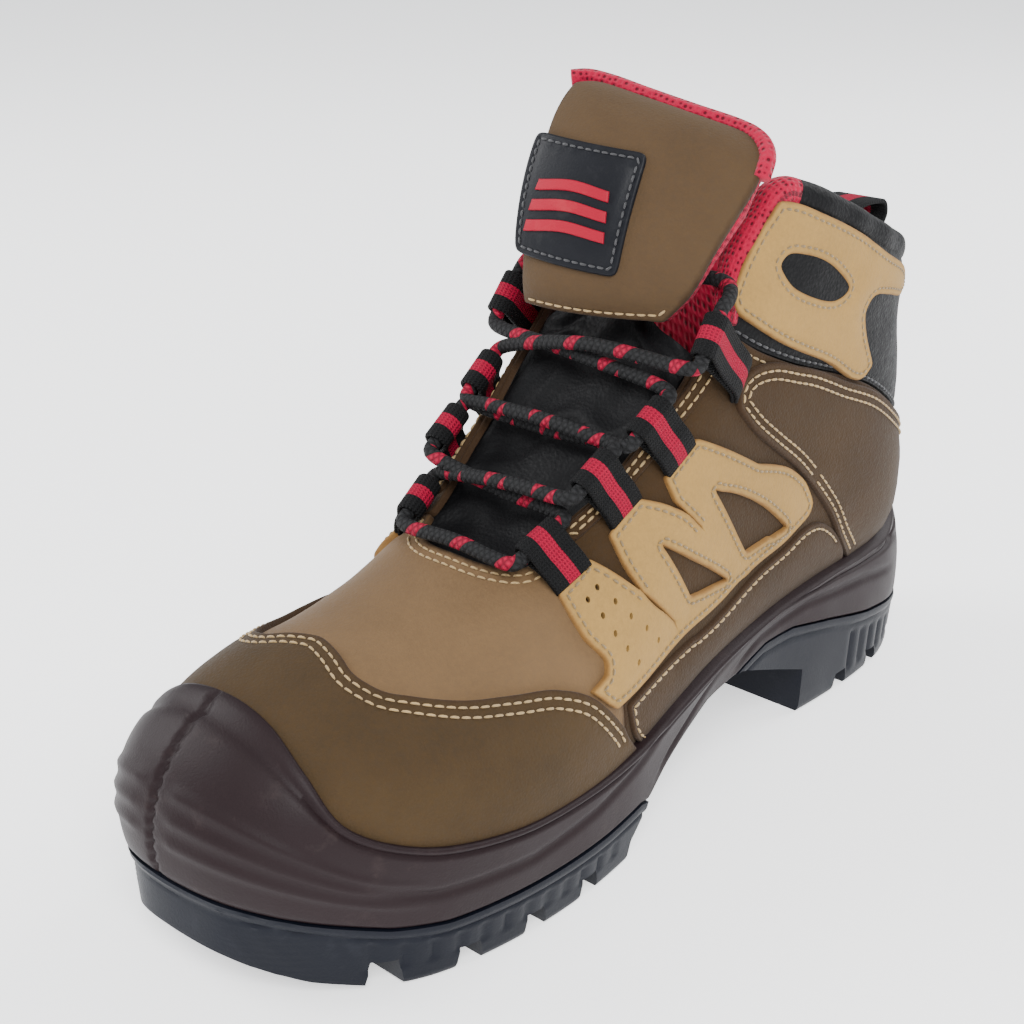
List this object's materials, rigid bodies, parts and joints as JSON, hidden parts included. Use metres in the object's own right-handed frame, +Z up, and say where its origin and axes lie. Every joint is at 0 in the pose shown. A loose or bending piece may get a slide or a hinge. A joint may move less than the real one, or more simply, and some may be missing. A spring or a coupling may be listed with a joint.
{
  "type": "safety work boot",
  "caption": "Lace-up ankle work boot for the left foot with a moulded toe bumper, block heel, padded collar and padded tongue.",
  "frame": {"origin": "on the ground, in the middle of the outsole's length and width", "axes": "+Z up, -Y towards the toe, +X towards the wearer's outer side of this left boot"},
  "size_m": [0.1059, 0.3071, 0.2093],
  "materials": {
    "outsole_rubber": "matte moulded navy-black rubber",
    "midsole_foam": "dark brown moulded polyurethane foam",
    "grey_textile": "woven dark grey",
    "bare_steel": "pressed sheet",
    "fibre_board": "pressed fibre board",
    "footbed_fabric": "knitted cover on foam",
    "vamp_leather": "smooth oiled nubuck",
    "guard_leather": "coated nubuck",
    "brown_leather": "nubuck",
    "tan_leather": "nubuck",
    "black_leather": "soft semi-matte",
    "collar_padding": "soft foam",
    "red_mesh": "open spacer mesh",
    "label_rubber": "moulded matte",
    "emblem_red": "moulded matte",
    "black_webbing": "woven tape with a red middle stripe",
    "lace_cord": "round braid with red flecks",
    "aglet_plastic": "clear-coated black"
  },
  "bodies": {
    "boot": {"outsole": "outsole_rubber", "midsole": "midsole_foam", "puncture_plate": "grey_textile", "shank": "bare_steel", "insole_board": "fibre_board", "steel_toe_cap": "bare_steel", "heel_stiffener": "fibre_board", "vamp": "vamp_leather", "toe_guard": "guard_leather", "vamp_lining": "grey_textile", "quarter_lining": "red_mesh", "quarter_lateral": "brown_leather", "quarter_medial": "brown_leather", "foxing_lateral": "brown_leather", "foxing_medial": "brown_leather", "side_overlay_lateral": "tan_leather", "side_overlay_medial": "tan_leather", "eyestay_lateral": "brown_leather", "eyestay_medial": "brown_leather", "collar_panel_lateral": "tan_leather", "collar_panel_medial": "tan_leather", "counter_overlay": "brown_leather", "collar_leather": "black_leather", "collar_foam": "collar_padding", "tongue_gusset": "black_leather", "lace_loop_lateral_1": "black_webbing", "lace_loop_lateral_2": "black_webbing", "lace_loop_lateral_3": "black_webbing", "lace_loop_lateral_4": "black_webbing", "lace_loop_medial_1": "black_webbing", "lace_loop_medial_2": "black_webbing", "lace_loop_medial_3": "black_webbing", "lace_loop_medial_4": "black_webbing", "lace": "lace_cord", "aglet_lateral": "aglet_plastic", "aglet_medial": "aglet_plastic", "pull_loop": "black_webbing"},
    "tongue": {"tongue_pad": "vamp_leather", "tongue_lining": "red_mesh", "tongue_label": "label_rubber", "label_emblem": "emblem_red"},
    "insole": {"footbed": "footbed_fabric"}
  },
  "joints": [
    {"name": "tongue_fold", "type": "hinge", "parent": "boot", "child": "tongue", "pos_m": [-0.004, -0.004, 0.1413], "axis": [1, 0, 0], "range_deg": [0, 35]},
    {"name": "footbed_lift", "type": "hinge", "parent": "boot", "child": "insole", "pos_m": [0, -0.136, 0.021], "axis": [1, 0, 0], "range_deg": [0, 5]}
  ]
}
